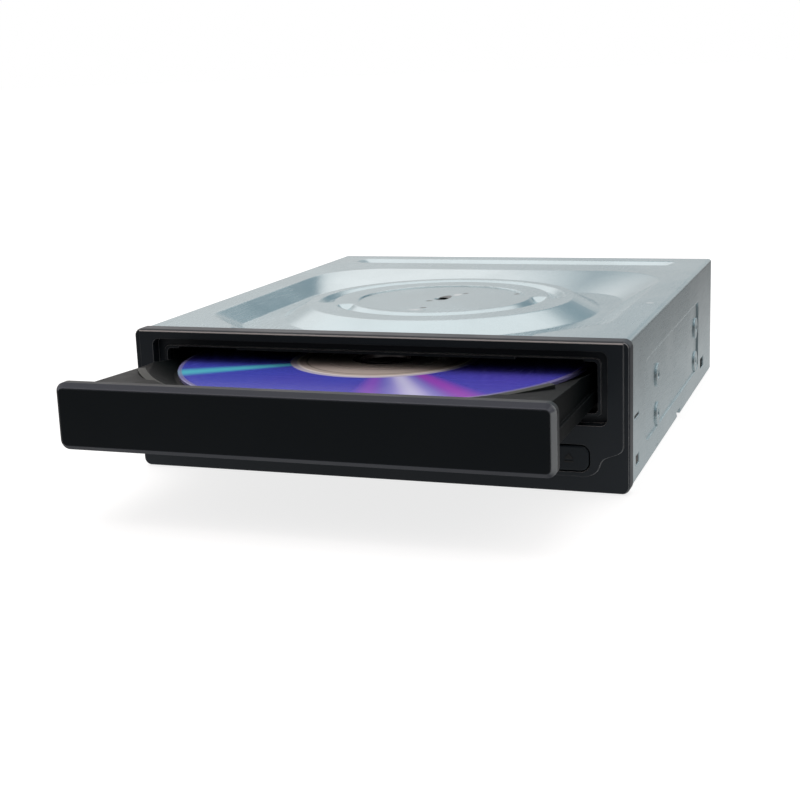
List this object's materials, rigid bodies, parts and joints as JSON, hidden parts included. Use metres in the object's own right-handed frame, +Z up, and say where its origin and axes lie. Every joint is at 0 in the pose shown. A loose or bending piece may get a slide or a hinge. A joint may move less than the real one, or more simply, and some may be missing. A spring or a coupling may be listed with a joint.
{
  "type": "internal dvd writer",
  "caption": "Half-height optical disc drive with a sliding disc tray, front bezel with eject key, pressed steel case, loading gears, sled and spindle.",
  "frame": {"origin": "centre of the four bottom mounting holes, in the plane of the case's bottom", "axes": "+X to the right seen from the front, +Y to the back, +Z up; the bezel and the tray face -Y"},
  "size_m": [0.148, 0.2247, 0.042],
  "materials": {
    "zinc_steel": "zinc-coated sheet steel, satin",
    "bright_steel": "bright steel",
    "black_face": "satin near-black moulded plastic",
    "black_plastic": "black moulded plastic, fine texture",
    "frame_plastic": "black glass-filled plastic",
    "gear_plastic": "natural white acetal",
    "dark_gear_plastic": "dark grey acetal",
    "clear_lens": "clear light pipe",
    "coated_glass": "coated lens",
    "board_green": "green solder mask",
    "chip_black": "moulded chip body",
    "part_tan": "small board parts",
    "socket_white": "cream nylon",
    "contact_gold": "gold flash",
    "rubber_black": "soft rubber",
    "motor_steel": "nickel-plated can",
    "sled_metal": "die-cast alloy",
    "disc_dye": "polycarbonate with violet recording layer",
    "magnet_grey": "ferrite"
  },
  "bodies": {
    "case": {"front_bezel": "black_face", "led_lens": "clear_lens", "top_cover": "zinc_steel", "bottom_cover": "zinc_steel", "cover_screws": "bright_steel", "main_frame": "frame_plastic", "circuit_board": "board_green", "board_screws": "bright_steel", "control_chip": "chip_black", "driver_chip": "chip_black", "memory_chip": "chip_black", "small_parts": "part_tan", "ribbon_sockets": "socket_white", "serial_socket": "black_plastic", "contact_rows": "contact_gold", "front_board": "board_green", "front_board_clips": "frame_plastic", "eject_switch": "socket_white", "status_light": "clear_lens", "loading_motor": "motor_steel", "motor_screws": "bright_steel", "loading_belt": "rubber_black", "traverse_frame": "bright_steel", "traverse_dampers": "rubber_black", "guide_rods": "bright_steel", "sled_motor": "motor_steel", "spindle_base": "bright_steel", "cam_slider": "gear_plastic", "clamp_bridge": "zinc_steel", "bridge_screws": "bright_steel"},
    "tray": {"disc_tray": "black_plastic", "tray_door": "black_face", "disc": "disc_dye"},
    "eject_key": {"eject_button": "black_face"},
    "rack_gear": {"drive_gear": "gear_plastic"},
    "belt_gear": {"pulley_gear": "gear_plastic"},
    "motor_wheel": {"motor_pulley": "bright_steel"},
    "spindle": {"spindle_rotor": "motor_steel", "turntable": "dark_gear_plastic", "turntable_pad": "rubber_black", "hub_balls": "gear_plastic"},
    "sled": {"pickup_sled": "sled_metal", "lead_nut": "gear_plastic", "lens_mount": "dark_gear_plastic", "lens_cover": "bright_steel", "objective_lens": "coated_glass"},
    "screw_shaft": {"lead_screw": "bright_steel"},
    "clamp_puck": {"clamper": "dark_gear_plastic", "clamp_magnet": "magnet_grey", "clamp_yoke": "bright_steel"}
  },
  "joints": [
    {"name": "tray_slide", "type": "slide", "parent": "case", "child": "tray", "axis": [0, -1, 0], "range_m": [-0.0537, 0.0845]},
    {"name": "eject_button_press", "type": "slide", "parent": "case", "child": "eject_key", "axis": [0, 1, 0], "range_m": [0, 0.0008], "stiffness_N_per_m": 1500, "springref_m": -0.0002},
    {"name": "drive_gear_spin", "type": "hinge", "parent": "case", "child": "rack_gear", "pos_m": [-0.042, -0.06552, 0.018], "axis": [0, 0, 1], "range_deg": [-445, 700]},
    {"name": "pulley_gear_spin", "type": "hinge", "parent": "case", "child": "belt_gear", "pos_m": [-0.018, -0.06552, 0.018], "axis": [0, 0, 1], "range_deg": [-2090, 1330]},
    {"name": "motor_pulley_spin", "type": "hinge", "parent": "case", "child": "motor_wheel", "pos_m": [0.016, -0.06552, 0.018], "axis": [0, 0, 1], "range_deg": [-7650, 4870]},
    {"name": "spindle_spin", "type": "hinge", "parent": "case", "child": "spindle", "pos_m": [0, -0.02353, 0.02], "axis": [0, 0, 1], "continuous": true},
    {"name": "sled_slide", "type": "slide", "parent": "case", "child": "sled", "axis": [0, 1, 0], "range_m": [0, 0.036]},
    {"name": "lead_screw_spin", "type": "hinge", "parent": "case", "child": "screw_shaft", "pos_m": [0.0334, 0.01298, 0.0176], "axis": [0, 1, 0], "range_deg": [-5, 4330]},
    {"name": "clamp_spin", "type": "hinge", "parent": "case", "child": "clamp_puck", "pos_m": [0, -0.02353, 0.036], "axis": [0, 0, 1], "continuous": true}
  ],
  "couplings": [
    {"joint": "drive_gear_spin", "follows": "tray_slide", "rad_per_m": 142.86},
    {"joint": "pulley_gear_spin", "follows": "tray_slide", "rad_per_m": -428.57},
    {"joint": "motor_pulley_spin", "follows": "tray_slide", "rad_per_m": -1571.4},
    {"joint": "lead_screw_spin", "follows": "sled_slide", "rad_per_m": 2094.4}
  ]
}
